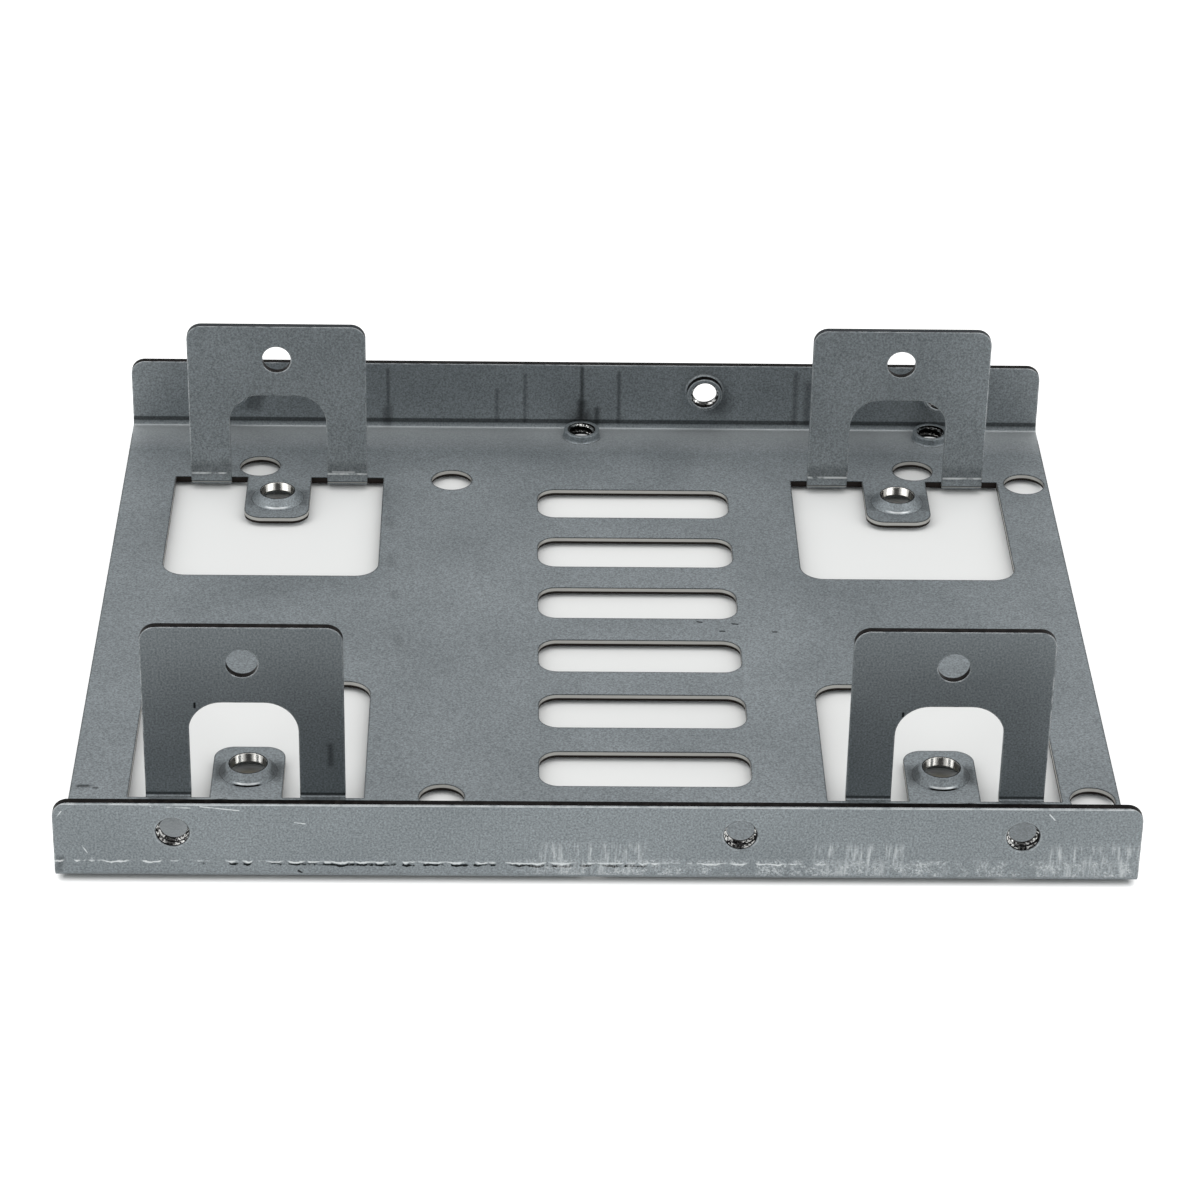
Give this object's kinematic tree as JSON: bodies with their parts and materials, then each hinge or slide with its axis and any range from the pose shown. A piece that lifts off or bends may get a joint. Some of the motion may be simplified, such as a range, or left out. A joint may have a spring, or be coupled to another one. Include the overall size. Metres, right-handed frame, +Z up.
{
  "type": "drive bay adapter bracket",
  "caption": "Folded sheet-steel bracket that carries a small drive in a wider drive bay, on tongues with raised bosses or between upright ears with arches.",
  "frame": {"origin": "middle of the plate's underside", "axes": "+X along the drive, +Y to the back flange, +Z up, the way the ears point"},
  "size_m": [0.1152, 0.1016, 0.0223],
  "materials": {
    "zinc_steel": "satin zinc-plated sheet, lightly scratched"
  },
  "bodies": {
    "root": {"bracket": "zinc_steel"}
  },
  "joints": []
}
